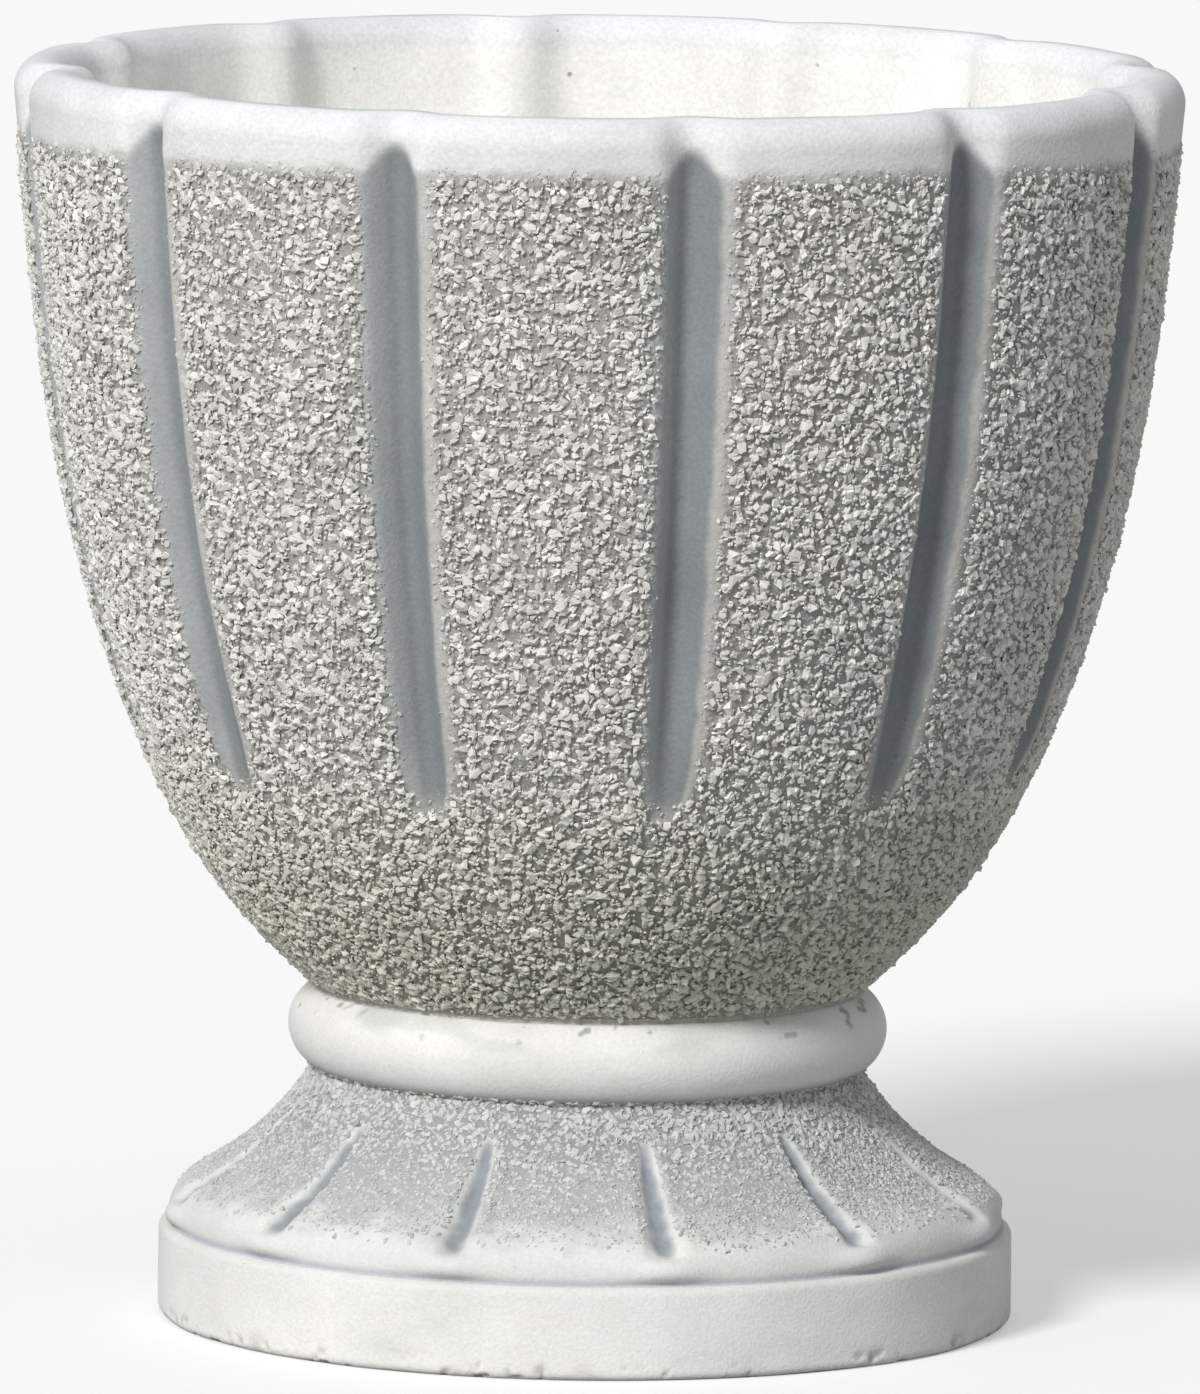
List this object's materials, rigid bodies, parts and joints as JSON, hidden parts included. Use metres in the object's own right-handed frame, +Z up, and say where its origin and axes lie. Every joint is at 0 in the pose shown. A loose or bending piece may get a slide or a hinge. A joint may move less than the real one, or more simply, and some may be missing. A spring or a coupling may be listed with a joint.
{
  "type": "urn planter",
  "caption": "Fluted cast-stone urn planter: flaring scalloped bowl with a floor drain, bedded in mortar on a hollow flared foot with a neck ring and a round plinth.",
  "frame": {"origin": "on the ground, on the axis of the urn", "axes": "+Z up along the axis, -Y towards the front"},
  "size_m": [0.5992, 0.5992, 0.6449],
  "materials": {
    "bowl_concrete": "exposed marble chips in pale cement",
    "foot_concrete": "smooth pale cement, fine chips on the skirt",
    "mortar": "rough",
    "drain_plastic": "matt",
    "steel": "as rolled"
  },
  "bodies": {
    "root": {"bowl": "bowl_concrete", "foot": "foot_concrete", "mortar_bed": "mortar", "drain_sleeve": "drain_plastic", "bowl_bar_1": "steel", "bowl_bar_2": "steel", "bowl_bar_3": "steel", "bowl_bar_4": "steel", "bowl_bar_5": "steel", "bowl_bar_6": "steel", "bowl_hoop_top": "steel", "bowl_hoop_bottom": "steel", "foot_bar_1": "steel", "foot_bar_2": "steel", "foot_bar_3": "steel", "foot_bar_4": "steel", "foot_bar_5": "steel", "foot_bar_6": "steel", "foot_hoop_base": "steel"}
  },
  "joints": []
}
